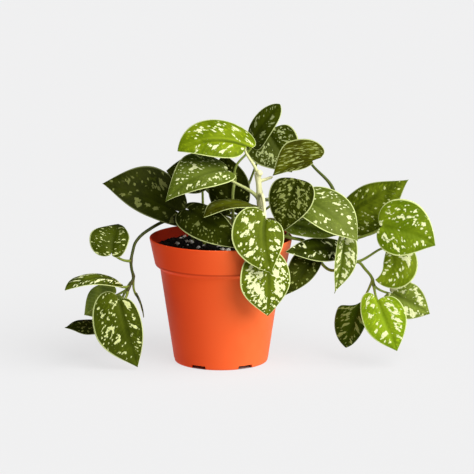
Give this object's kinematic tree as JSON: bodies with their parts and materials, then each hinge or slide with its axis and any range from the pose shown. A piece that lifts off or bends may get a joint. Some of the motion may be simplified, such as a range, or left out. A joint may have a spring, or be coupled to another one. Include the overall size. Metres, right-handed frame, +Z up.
{
  "type": "potted philodendron",
  "caption": "Trailing house plant with silver-spotted heart-shaped leaves on long stems, growing in soil in a round orange nursery pot.",
  "frame": {"origin": "centre of the pot's base, on the surface that it stands on", "axes": "+Z up, -Y towards the viewer of the picture, +X towards the longer trailing stems at its right"},
  "size_m": [0.3101, 0.1557, 0.2159],
  "materials": {
    "pot": "satin",
    "peat": "matte",
    "stem": "satin",
    "leaf": "satin"
  },
  "bodies": {
    "root": {"pot": "pot", "soil": "peat", "vine_centre": "stem", "vine_back_centre": "stem", "vine_left_mouth": "stem", "vine_left": "stem", "vine_right": "stem", "vine_right_low": "stem", "vine_front": "stem", "vine_back": "stem", "leaf_crown": "leaf", "leaf_under_crown": "leaf", "leaf_shade": "leaf", "leaf_left_high": "leaf", "leaf_over_soil": "leaf", "leaf_low_edge": "leaf", "leaf_front_high": "leaf", "leaf_front_low": "leaf", "leaf_back_centre": "leaf", "leaf_top": "leaf", "leaf_facing": "leaf", "leaf_curled": "leaf", "leaf_dark_right": "leaf", "leaf_right_grey": "leaf", "leaf_hanging": "leaf", "leaf_right_high": "leaf", "leaf_right_round": "leaf", "leaf_right_curled": "leaf", "leaf_right_low": "leaf", "leaf_right_low_dark": "leaf", "leaf_far_right": "leaf", "leaf_right_under": "leaf", "leaf_right_middle": "leaf", "leaf_right_deep": "leaf", "leaf_left_sliver": "leaf", "leaf_left_upper": "leaf", "leaf_left_arched": "leaf", "leaf_left_low": "leaf", "leaf_left_behind": "leaf", "leaf_left_far": "leaf", "leaf_back_left": "leaf", "leaf_back_high": "leaf", "leaf_back_right": "leaf", "leaf_back_low_left": "leaf", "leaf_back_low_right": "leaf"}
  },
  "joints": []
}
